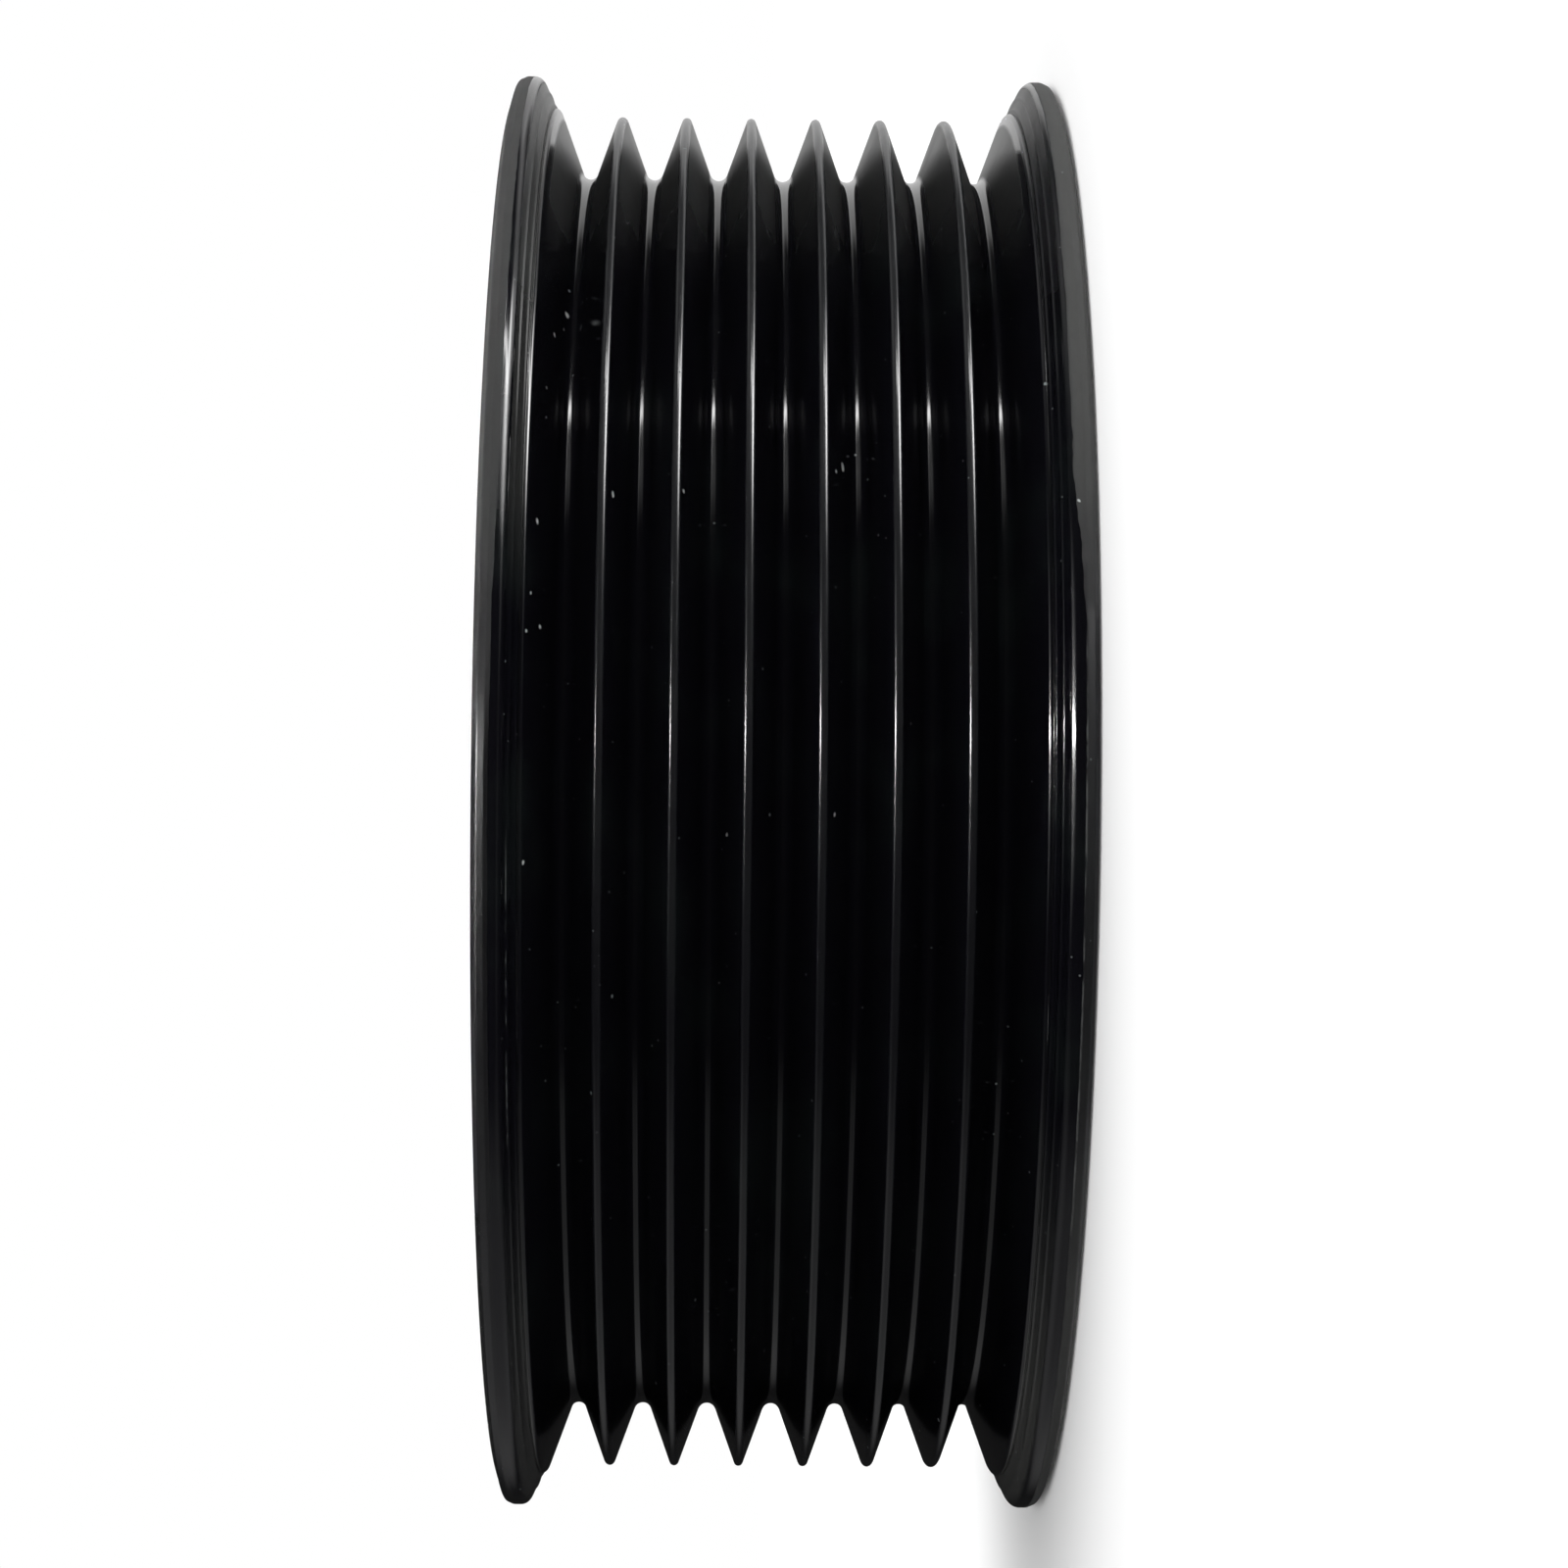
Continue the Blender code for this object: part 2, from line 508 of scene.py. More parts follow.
    def outline(self) -> np.ndarray:
        """Closed outline with every corner rounded by an arc that touches both sides.

        For a corner with half angle a between its sides, the arc of radius R touches each
        side at R / tan(a) from the corner, and its centre lies on the bisector at
        R / sin(a). A support point stands just outside each end of an arc, so that the
        smooth shading of an arc stays off the straight sides.

        Returns:
            An (n, 2) array of radius and height in metres.
        """
        points = []
        corners = self.corners()
        for index, corner in enumerate(corners):
            here = np.array((corner.radius, corner.height))
            if not corner.rounding:
                points.append(here)
                continue
            ends = (corners[index - 1], corners[(index + 1) % len(corners)])
            back, ahead = (np.array((end.radius, end.height)) - here for end in ends)
            back_length, ahead_length = np.hypot(*back), np.hypot(*ahead)
            back, ahead = back / back_length, ahead / ahead_length
            half = math.acos(float(back @ ahead)) / 2
            reach = corner.rounding / math.tan(half)
            bisector = (back + ahead) / np.hypot(*(back + ahead))
            centre = here + bisector * corner.rounding / math.sin(half)
            start = here + back * reach - centre
            turn = (math.pi - 2 * half) * -np.sign(back[0] * ahead[1] - back[1] * ahead[0])
            angles = math.atan2(start[1], start[0]) + np.linspace(0, turn, corner.steps + 1)
            arc = centre + corner.rounding * np.stack((np.cos(angles), np.sin(angles)), 1)
            before = reach + min(self.support, self.support_share * back_length)
            after = reach + min(self.support, self.support_share * ahead_length)
            points += [here + back * before, *arc, here + ahead * after]
        return np.array(points) * MM


@dataclass(frozen=True)
class PaintRun:
    """A thick spot in the paint, such as a run or a drip.

    Attributes:
        angle: place round the axis in degrees from +X towards +Y.
        height: place along the axis in mm from the back face.
        length: half length round the rim, in mm.
        breadth: half breadth along the axis, in mm.
        rise: thickness in mm.
    """

    angle: float
    height: float
    length: float
    breadth: float
    rise: float


@dataclass
class Pulley:
    """The pulley as one turned and painted piece.

    Attributes:
        section: its half section.
        turns: number of segments round the axis.
        runs: thick spots in the paint.
    """

    section: TurnedSection = field(default_factory=TurnedSection)
    turns: int = 240
    runs: tuple[PaintRun, ...] = (
        PaintRun(-68.0, 0.55, 4.5, 0.16, 0.07),
        PaintRun(-60.0, 0.45, 2.0, 0.20, 0.06),
        PaintRun(-96.0, 0.70, 3.0, 0.10, 0.04),
        PaintRun(-44.0, 28.9, 2.5, 0.14, 0.05),
    )

    def surface(self) -> np.ndarray:
        """Grid of points of the painted surface.

        The outline (r, h) is carried round the axis: x = r cos t, y = r sin t, z = h. Before
        that, each grid point moves along the radius by the rise of the paint runs, each a
        bell shape of the distance round the rim and along the axis.

        Returns:
            A (turns, n, 3) array of points in metres.
        """
        outline = self.section.outline()
        angle = np.arange(self.turns) * (2 * np.pi / self.turns)
        radius = np.repeat(outline[None, :, 0], self.turns, axis=0)
        height = np.repeat(outline[None, :, 1], self.turns, axis=0)
        outer = radius > self.section.ridge_radius * MM
        for run in self.runs:
            turn = (angle[:, None] - math.radians(run.angle) + np.pi) % (2 * np.pi) - np.pi
            along = turn * radius / (run.length * MM)
            across = (height - run.height * MM) / (run.breadth * MM)
            radius = radius + outer * run.rise * MM * np.exp(-along ** 2 - across ** 2)
        return np.stack((radius * np.cos(angle)[:, None],
                         radius * np.sin(angle)[:, None], height), axis=2)

    def build(self) -> bpy.types.Object:
        """Make the pulley's mesh object from its grid, closed both ways.

        Returns:
            The object, at the origin.
        """
        grid = self.surface()
        turns, count = grid.shape[:2]
        index = np.arange(turns * count).reshape(turns, count)
        around = np.roll(index, -1, axis=0)
        down = np.roll(index, -1, axis=1)
        both = np.roll(around, -1, axis=1)
        faces = np.stack((index, down, both, around), axis=2).reshape(-1, 4)
        mesh = bpy.data.meshes.new("painted_pulley")
        mesh.vertices.add(turns * count)
        mesh.vertices.foreach_set("co", grid.reshape(-1).astype(np.float32))
        mesh.loops.add(faces.size)
        mesh.loops.foreach_set("vertex_index", faces.reshape(-1).astype(np.int32))
        mesh.polygons.add(len(faces))
        mesh.polygons.foreach_set("loop_start", np.arange(0, faces.size, 4, dtype=np.int32))
        mesh.update(calc_edges=True)
        mesh.validate()
        mesh.shade_smooth()
        piece = bpy.data.objects.new("painted_pulley", mesh)
        bpy.context.scene.collection.objects.link(piece)
        return piece

    def dress(self, piece: bpy.types.Object, paint: "GlossPaint") -> None:
        """Give the pulley its paint and stand it in for the CAD node.

        Args:
            piece: the pulley's object.
            paint: its finish.
        """
        piece.data.materials.append(paint.material(self.section))
        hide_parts(NODE)
        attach(piece, BODY)


# Finishes

@dataclass(frozen=True)
class Pattern:
    """Cloudy noise all over the pulley.

    Attributes:
        waves: waves per metre along X, Y and Z.
        detail: number of finer layers.
        roughness: strength of each finer layer, as a share of the one before.
    """

    waves: PerAxis
    detail: float = 2.0
    roughness: float = 0.5

    def over(self, place: Signal) -> Signal:
        """The pattern, from 0 to 1, at a place in object coordinates."""
        waves = place.tree.vector("MULTIPLY", place, self.waves)
        return place.tree.noise(waves, 1.0, self.detail, self.roughness)


@dataclass(frozen=True)
class Onset:
    """Value that changes from the front of the pulley to its top or to its underside.

    Attributes:
        low: elevation in degrees at which the change begins.
        high: elevation at which it is complete, which may be the smaller one.
        before: value up to the first.
        after: value from the second on.
    """

    low: float
    high: float
    before: float = 0.0
    after: float = 1.0

    def at(self, elevation: Signal) -> Signal:
        """The value at an elevation."""
        return elevation.ramp(self.low, self.high).mixed(self.before, self.after)


@dataclass(frozen=True)
class Regions:
    """Where a place lies on the pulley, with masks from 0 to 1 for the section's parts.

    Elevation is the angle of a place above the level plane through the shaft axis, as the
    pulley is seen in the photograph.

    Attributes:
        elevation: that angle, in degrees.
        rightward: place along the axis in mm from mid-width, picture right being positive.
        offset: distance from mid-width in mm.
        front: the half with the front flange, at picture left.
        back: the half with the back flange, at picture right.
        outer: outsides of the flanges.
        band: sloping inner bands of the flanges.
        wall: walls of the grooves.
        tip: tips of the ridges.
        inner: the faces, the recesses and the hub with its bore.
    """

    # Where each mask begins and is full, in mm from the radius that its name says
    OUTER_TO_CREST: ClassVar[Span] = (-1.5, -1.2)
    BAND_TO_CREST: ClassVar[Span] = (-0.1, -0.4)
    BAND_TO_MOUTH: ClassVar[Span] = (-0.3, 0.0)
    WALL_TO_ROOT: ClassVar[Span] = (0.15, 0.5)
    WALL_TO_RIDGE: ClassVar[Span] = (-0.05, -0.35)
    TIP_TO_RIDGE: ClassVar[Span] = (-0.22, -0.06)
    INNER_TO_ROOT: ClassVar[Span] = (-0.6, -0.9)
    # How far from the outermost groove walls' ends the bands' mask begins, along the axis
    BAND_INSET: ClassVar[float] = 0.1

    elevation: Signal
    rightward: Signal
    offset: Signal
    front: Signal
    back: Signal
    outer: Signal
    band: Signal
    wall: Signal
    tip: Signal
    inner: Signal

    @classmethod
    def of(cls, place: Signal, section: TurnedSection) -> "Regions":
        """Read the parts off the section.

        The radius is the root of x^2 + y^2, the elevation is the angle whose sine is
        x / radius, and each mask is a smooth step of the radius about one of the section's
        radii.

        Args:
            place: object coordinates.
            section: the pulley's section.

        Returns:
            The regions at that place.
        """
        x, y, z = place.tree.axes(place)
        radius = (x * x + y * y) ** 0.5 / MM
        rightward = section.width / 2 - z / MM
        offset = abs(rightward)
        back = rightward.above(0.0)
        last_ridge = section.mouth_offset - section.groove_pitch / 2
        return cls(
            elevation=(x / MM / radius).slope_angle(),
            rightward=rightward,
            offset=offset,
            front=1.0 - back,
            back=back,
            outer=radius.near(section.crest_radius, cls.OUTER_TO_CREST),
            band=(offset.above(section.mouth_offset + cls.BAND_INSET)
                  * radius.near(section.crest_radius, cls.BAND_TO_CREST)
                  * radius.near(section.mouth_radius, cls.BAND_TO_MOUTH)),
            wall=(radius.near(section.root_radius, cls.WALL_TO_ROOT)
                  * radius.near(section.ridge_radius, cls.WALL_TO_RIDGE)),
            tip=(radius.near(section.ridge_radius, cls.TIP_TO_RIDGE)
                 * (1.0 - offset.above(last_ridge))),
            inner=radius.near(section.root_radius, cls.INNER_TO_ROOT),
        )


@dataclass(frozen=True)
class DullPaintAndLight:
    """Dull paint on the outside of one flange, with painted light graded by height.

    Attributes:
        top_offset: where it starts on the upper part, in mm from mid-width.
        front_offset: where it starts on the lower part.
        change: elevations in degrees between which the start moves.
        top: strength on the upper part, from 0, raised as painted light from above.
        front: strength on the level part.
        bottom: strength on the underside, raised on the back flange as painted light from
            below.
        underside: elevations between which the level part gives way to the underside.
        edge: half breadth of its soft edge, in mm.
    """

    top_offset: float
    front_offset: float
    change: Span
    top: float
    front: float
    bottom: float
    underside: Span = (-18.0, -45.0)
    edge: float = 0.04

    def mask(self, elevation: Signal, offset: Signal) -> Signal:
        """How dull the paint is at a place.

        Args:
            elevation: angle above the level plane, in degrees.
            offset: distance from mid-width in mm.

        Returns:
            0 on glossy paint, and up to the strengths above on dull paint; their grading is
            painted light.
        """
        upper = elevation.ramp(*self.change)
        start = upper.mixed(self.front_offset, self.top_offset)
        level = upper.mixed(self.front, self.top)
        strength = elevation.ramp(*self.underside).mixed(level, self.bottom)
        return (offset - start).ramp(-self.edge, self.edge) * strength


@dataclass(frozen=True)
class GlintLine:
    """Row of painted glints, in dashes, along an edge.

    Attributes:
        offset: place along the axis in mm from mid-width, picture right being positive.
        half_width: half of its width in mm.
        low: elevation in degrees at which it starts.
        high: elevation at which it ends.
        strength: how bright the dashes are.
        sides: shares of the half width between which the sides fade in.
        fade: degrees over which each end fades.
        dashes: levels of the noise between which a dash fades in.
    """

    offset: float
    half_width: float
    low: float
    high: float
    strength: float
    sides: Span = (1.4, 0.4)
    fade: float = 4.0
    dashes: Span = (0.42, 0.62)

    def mask(self, elevation: Signal, offset: Signal, noise: Signal) -> Signal:
        """Brightness of the line at a place.

        Args:
            elevation: angle above the level plane, in degrees.
            offset: place along the axis in mm from mid-width.
            noise: noise that breaks the line up.

        Returns:
            0 off the line, and up to its strength on it.
        """
        far, near = (self.half_width * share for share in self.sides)
        across = abs(offset - self.offset).ramp(far, near)
        length = (elevation.ramp(self.low, self.low + self.fade)
                  * elevation.ramp(self.high, self.high - self.fade))
        return across * length * noise.ramp(*self.dashes) * self.strength


@dataclass(frozen=True)
class DustSpecks:
    """Round specks of dust, one in some of the cells of a Voronoi pattern.

    Attributes:
        cells: cells per metre.
        spread: difference between the greatest and the least radius, in cells.
        bare: share of the cells that stay bare.
        strength: how much of the paint a speck hides.
        least: least radius, as a share of the spread.
        rim: breadth of a speck's soft rim, as a share of the spread.
    """

    cells: float
    spread: float
    bare: float
    strength: float
    least: float = 0.4
    rim: float = 0.4

    def mask(self, place: Signal) -> Signal:
        """How much of the paint the specks hide at a place.

        Each cell has a random colour. The first part of it says whether the cell holds a
        speck, and the second how large the speck is.

        Args:
            place: object coordinates.

        Returns:
            The strength in a speck and 0 elsewhere.
        """
        cells = place.tree.node("ShaderNodeTexVoronoi", {"feature": "F1"},
                                {"Vector": place, "Scale": self.cells})
        distance = Signal(place.tree, cells.outputs["Distance"])
        chance, share, _ = place.tree.axes(cells.outputs["Color"])
        radius = self.spread * (self.least + share)
        speck = (radius - distance).ramp(0.0, self.spread * self.rim)
        return speck * chance.above(self.bare) * self.strength


@dataclass(frozen=True)
class Lint:
    """A bit of lint or grit on the paint.

    Attributes:
        elevation: angle above the level plane, in degrees.
        offset: place along the axis in mm from mid-width, picture right being positive.
        radius: distance from the shaft axis in mm.
        size: its half size in mm.
        core: share of its size that hides the paint fully.
    """

    elevation: float
    offset: float
    radius: float
    size: float
    core: float = 0.4

    def place(self, width: float) -> PerAxis:
        """Its middle in the pulley's frame, in metres.

        Args:
            width: the pulley's width in mm.

        Returns:
            The point (r sin e, -r cos e, width / 2 - offset).
        """
        angle = math.radians(self.elevation)
        return (self.radius * math.sin(angle) * MM, -self.radius * math.cos(angle) * MM,
                (width / 2 - self.offset) * MM)

    def mask(self, ragged: Signal, width: float) -> Signal:
        """How much of the paint it hides at a place.

        Args:
            ragged: object coordinates, moved about by fine noise.
            width: the pulley's width in mm.

        Returns:
            1 in its core and 0 off it.
        """
        away = ragged.tree.vector("DISTANCE", ragged, self.place(width), output="Value")
        return away.ramp(self.size * MM, self.size * self.core * MM)


@dataclass(frozen=True)
class Marks:
    """What dulls or marks the gloss at a place, or paints light on it, as signals from 0 to
    about 1.

    Attributes:
        wander: broad noise.
        grain: fine noise, drawn out round the axis.
        cloud: patchy noise.
        dull: dull paint on the outsides of the flanges, graded by height as painted light.
        matt: the same, at full strength wherever there is any.
        painted_light: painted light on the flanges' bands and on the upper groove walls.
        dust: dust specks.
        lint: lint and grit.
        glints: painted glints along edges.
    """

    wander: Signal
    grain: Signal
    cloud: Signal
    dull: Signal
    matt: Signal
    painted_light: Signal
    dust: Signal
    lint: Signal
    glints: Signal


@dataclass(frozen=True)
class GlossPaint:
    """Gloss black paint over turned steel: clean in the grooves, dull on the rims.

    Attributes:
        black: colour of clean paint.
        haze: colour of the thin haze that lies on it in patches.
        tip: greyer colour on the ridge tips.
        dull: colour of dull paint and of the painted light on rims, bands and walls.
        dust: colour of dust specks.
        lint: colour of lint, and of the painted glints along edges.
        ior: refractive index of the paint.
        smooth: roughness of roots and crests.
        scuffed: roughness of the ridge tips.
        rubbed: roughness of the rubbed place on the front flange's crest.
        matt: roughness of dull paint, dust and lint.
        face: roughness of the faces, the recesses and the hub.
        walls: roughness of the groove walls, from the front to the top.
        bands: roughness of the flanges' inner bands, from the front to the top.
        rubbed_ends: upper and lower end of the rubbed place.
        rubbed_edge: breadth of its soft edge, in mm.
        painted_light_strength: how strong the painted light on bands and walls is.
        front_band_light: painted light on the front flange's band, from the front to the top.
        under_band_light: painted light from below on both bands, from the front to the
            underside.
        under_shares: its strength on the front flange and on the back one.
        upper_wall_light: painted reflection on the groove walls, from the front to the top.
        gap_edge: distances in mm from the gap in the front band's painted light where it fades
            in.
        tip_greying: how much the ridge tips turn greyer, from the underside to the top.
        tip_grey_mottle: strength of that greying at the ends of the fine noise.
        dull_mottle: strength of dull paint and painted light at the ends of the fine noise.
        haze_patches: levels of the patchy noise between which the thin haze fades in.
        rough_patches: levels between which it makes the paint rougher.
        patch_roughness: by how much.
        matt_start: strengths of dull paint between which it becomes matt.
        wander_offset: how far broad noise moves the edges of dull paint along the axis, in mm.
        wander_turn: how far it moves them round the axis, in degrees.
        wander: the broad noise.
        grain: the fine noise, drawn out round the axis.
        cloud: the patchy noise.
        orange_peel: waviness of the paint.
        turning: lines of the lathe tool on the walls of the recesses and the bore.
        band_grain: height of the fine noise on the bands, in mm.
        matt_grain: its height on dull paint, in mm.
        band_waves: height of the broad noise on the bands, in mm.
        peel_height: height of the waviness, in mm.
        turning_height: height of the lathe lines, in mm.
        specks: dust specks of each size.
        lint_waves: waves per metre of the noise that makes lint ragged.
        lint_reach: breadth of the place over which that noise moves it, in mm.
        left_rim: dull paint on the front flange, at picture left, lighter on top as painted
            light.
        right_rim: dull paint on the back flange, at picture right, with painted light above and
            below.
        glint_lines: painted glints along edges.
        bits: lint and grit.
    """

    black: Colour = (0.0026, 0.0025, 0.0038, 1.0)
    haze: Colour = (0.0045, 0.0056, 0.0060, 1.0)
    tip: Colour = (0.013, 0.0135, 0.0145, 1.0)
    dull: Colour = (0.058, 0.059, 0.056, 1.0)
    dust: Colour = (0.14, 0.16, 0.16, 1.0)
    lint: Colour = (0.42, 0.44, 0.43, 1.0)
    ior: float = 1.5
    smooth: float = 0.12
    scuffed: float = 0.19
    rubbed: float = 0.30
    matt: float = 0.82
    face: float = 0.24
    walls: Onset = Onset(38.0, 60.0, 0.12, 0.30)
    bands: Onset = Onset(26.0, 46.0, 0.11, 0.326)
    rubbed_ends: tuple[Onset, Onset] = (Onset(31.0, 27.0), Onset(16.0, 22.0))
    rubbed_edge: float = 0.15
    painted_light_strength: float = 0.45
    front_band_light: Onset = Onset(12.0, 27.0)
    under_band_light: Onset = Onset(-20.0, -60.0)
    under_shares: tuple[float, float] = (0.85, 1.5)
    upper_wall_light: Onset = Onset(44.0, 66.0, 0.0, 0.8)
    gap_edge: Span = (0.04, 0.09)
    tip_greying: Onset = Onset(-25.0, 30.0, 0.15, 0.8)
    tip_grey_mottle: tuple[float, float] = (0.5, 1.5)
    dull_mottle: tuple[float, float] = (0.72, 1.22)
    haze_patches: Span = (0.48, 0.75)
    rough_patches: Span = (0.45, 0.75)
    patch_roughness: float = 0.05
    matt_start: Span = (0.0, 0.1)
    wander_offset: float = 0.16
    wander_turn: float = 14.0
    wander: Pattern = Pattern((300.0, 300.0, 300.0), 3.0, 0.6)
    grain: Pattern = Pattern((700.0, 700.0, 2200.0), 4.0, 0.65)
    cloud: Pattern = Pattern((170.0, 170.0, 170.0), 3.0, 0.55)
    orange_peel: Pattern = Pattern((900.0, 900.0, 900.0))
    turning: Pattern = Pattern((60.0, 60.0, 9000.0))
    band_grain: float = 0.005
    matt_grain: float = 0.016
    band_waves: float = 0.02
    peel_height: float = 0.0018
    turning_height: float = 0.004
    specks: tuple[DustSpecks, ...] = (
        DustSpecks(430.0, 0.036, 0.5, 1.0),
        DustSpecks(1100.0, 0.055, 0.45, 0.6),
    )
    lint_waves: float = 3000.0
    lint_reach: float = 0.26
    # The rims' strengths by height are painted light from above, and from below on the back
    # flange.
    left_rim: DullPaintAndLight = DullPaintAndLight(13.76, 13.92, (2.0, 30.0), 0.33, 0.04, 0.02)
    right_rim: DullPaintAndLight = DullPaintAndLight(13.58, 14.04, (10.0, 27.0), 0.53, 0.05, 0.60)
    # Painted glints along the back shoulder's edge and a ring on the front band.
    glint_lines: tuple[GlintLine, ...] = (
        GlintLine(14.08, 0.045, -34.0, 12.0, 0.13),
        GlintLine(-13.10, 0.035, -28.0, -2.0, 0.10),
    )
    bits: tuple[Lint, ...] = (
        Lint(44.0, -11.14, 34.71, 0.24),
        Lint(39.2, -11.60, 35.97, 0.16),
        Lint(20.5, -12.02, 37.13, 0.20),
        Lint(11.5, -12.38, 38.11, 0.14),
        Lint(12.5, -11.80, 36.52, 0.15),
        Lint(14.5, -12.22, 37.68, 0.12),
        Lint(20.5, 13.82, 40.12, 0.10),
        Lint(26.5, 2.72, 35.75, 0.26),
        Lint(29.0, 3.40, 34.41, 0.14),
        Lint(25.2, 2.36, 36.74, 0.14),
        Lint(22.8, -8.42, 37.02, 0.20),
        Lint(22.8, -5.02, 37.46, 0.14),
        Lint(10.2, -1.38, 36.30, 0.13),
        Lint(9.4, -1.20, 35.81, 0.11),
        Lint(-1.5, 2.34, 36.80, 0.13),
        Lint(-3.2, -2.72, 35.75, 0.14),
        Lint(-5.0, -12.38, 38.11, 0.16),
    )

    def material(self, section: TurnedSection) -> bpy.types.Material:
        """Build the node material.

        Args:
            section: the pulley's section, which says where its parts are.

        Returns:
            The material.
        """
        material = bpy.data.materials.new(SLOT)
        material.use_nodes = True
        tree = ShaderTree(material.node_tree)
        place = tree.signal("ShaderNodeTexCoord", output="Object")
        part = Regions.of(place, section)
        marks = self._marks(place, part, section)
        bump = tree.signal("ShaderNodeBump", {},
                           {"Strength": 1.0, "Distance": MM,
                            "Height": self._relief(place, part, marks)}, output="Normal")
        shader = tree.node("ShaderNodeBsdfPrincipled", {},
                           {"Base Color": self._colour(tree, part, marks),
                            "Roughness": self._roughness(part, marks, section),
                            "Normal": bump, "IOR": self.ior, "Metallic": 0.0})
        tree.node("ShaderNodeOutputMaterial", {}, {"Surface": shader.outputs["BSDF"]})
        return material

    def _marks(self, place: Signal, part: Regions, section: TurnedSection) -> Marks:
        """Work out what dulls or marks the paint.

        Args:
            place: object coordinates.
            part: the regions there.
            section: the pulley's section.

        Returns:
            The marks there.
        """
        tree = place.tree
        wander, grain = self.wander.over(place), self.grain.over(place)
        edge = part.offset + self.wander_offset * (wander - 0.5)
        bend = part.elevation + self.wander_turn * (wander - 0.5)
        # Dull paint on the flanges' outsides; its strength by height paints light from above,
        # and from below at the back.
        dull = part.outer * part.back.mixed(self.left_rim.mask(bend, edge),
                                            self.right_rim.mask(bend, edge))
        # Painted light: from above on the front band, from below on both bands, and a painted
        # reflection on the upper groove walls.
        front = (part.front * self.front_band_light.at(part.elevation)
                 * abs(part.offset - section.gap_offset).ramp(*self.gap_edge))
        under = part.back.mixed(*self.under_shares) * self.under_band_light.at(part.elevation)
        painted_light = part.band * (front + under) + part.wall * self.upper_wall_light.at(part.elevation)
        dust = Signal(tree, 0.0)
        for specks in self.specks:
            dust = dust.largest(specks.mask(place))
        ragged = tree.shaken(place, self.lint_waves, self.lint_reach * MM)
        lint = Signal(tree, 0.0)
        for bit in self.bits:
            lint = lint.largest(bit.mask(ragged, section.width))
        # Painted glints in dashes along edges.
        glints = sum((line.mask(part.elevation, part.rightward, grain)
                    for line in self.glint_lines), 0.0)
        return Marks(wander=wander, grain=grain, cloud=self.cloud.over(place), dull=dull,
                     matt=dull.ramp(*self.matt_start), painted_light=painted_light, dust=dust, lint=lint,
                     glints=glints)

    def _colour(self, tree: ShaderTree, part: Regions, marks: Marks) -> Signal:
        """Colour of the paint, with each kind of mark and of painted light laid over the last.

        Args:
            tree: the material's tree.
            part: the regions at a place.
            marks: the marks there.

        Returns:
            The colour there.
        """
        # The ridge tips turn greyer towards the top.
        tip_grey = (part.tip * self.tip_greying.at(part.elevation)
                  * marks.grain.mixed(*self.tip_grey_mottle))
        # The veil lays dull paint and painted light in the dull colour.
        veil = ((marks.dull + marks.painted_light * self.painted_light_strength)
                * marks.grain.mixed(*self.dull_mottle))
        colour = tree.blend(marks.cloud.ramp(*self.haze_patches), self.black, self.haze)
        colour = tree.blend(tip_grey, colour, self.tip)
        colour = tree.blend(veil, colour, self.dull)
        colour = tree.blend(marks.dust, colour, self.dust)
        # Lint, and the painted glints along edges, in the lint colour.
        return tree.blend((marks.lint + marks.glints).clamped(), colour, self.lint)

    def _roughness(self, part: Regions, marks: Marks, section: TurnedSection) -> Signal:
        """Roughness of the paint.

        Every part moves it from smooth towards its own value, and dull paint, dust and lint
        then make it matt.

        Args:
            part: the regions at a place.
            marks: the marks there.
            section: the pulley's section.

        Returns:
            The roughness there.
        """
        upper_end, lower_end = (end.at(part.elevation) for end in self.rubbed_ends)
        rubbed = (part.outer * part.offset.near(section.gap_offset, (0.0, self.rubbed_edge))
                  * part.front * upper_end * lower_end)
        roughness = self.smooth + self.patch_roughness * marks.cloud.ramp(*self.rough_patches)
        for mask, value in ((part.wall, self.walls.at(part.elevation)),
                            (part.tip, self.scuffed),
                            (rubbed, self.rubbed),
                            (part.band, self.bands.at(part.elevation)),
                            (part.inner, self.face)):
            roughness = roughness + mask * (value - self.smooth)
        marred = (marks.matt + marks.dust + marks.lint).clamped()
        return marred.mixed(roughness, self.matt).clamped()

    def _relief(self, place: Signal, part: Regions, marks: Marks) -> Signal:
        """Fine relief of the paint.

        Args:
            place: object coordinates.
            part: the regions there.
            marks: the marks there.

        Returns:
            The height there, in mm.
        """
        grain = (part.band * self.band_grain + marks.matt * self.matt_grain) * marks.grain
        return (grain + part.band * marks.wander * self.band_waves
                + self.orange_peel.over(place) * self.peel_height
                + part.inner * self.turning.over(place) * self.turning_height)


@dataclass(frozen=True)
class StudioWhite:
    """Plain pale floor.

    Attributes:
        colour: its colour.
    """

    colour: Colour = (0.93, 0.93, 0.93, 1.0)

    def material(self) -> bpy.types.Material:
        """Build the floor's material.

        Returns:
            The material.
        """
        material = bpy.data.materials.new("studio_white")
        material.use_nodes = True
        tree = ShaderTree(material.node_tree)
        shader = tree.node("ShaderNodeBsdfDiffuse", {}, {"Color": self.colour})
        tree.node("ShaderNodeOutputMaterial", {}, {"Surface": shader.outputs["BSDF"]})
        return material


# The studio

class Edge(Enum):
    """How far the edge of a patch of the room is blurred, as a share of its half size."""

    FIRM = 0.3
    SOFT = 0.5
    FADING = 0.95


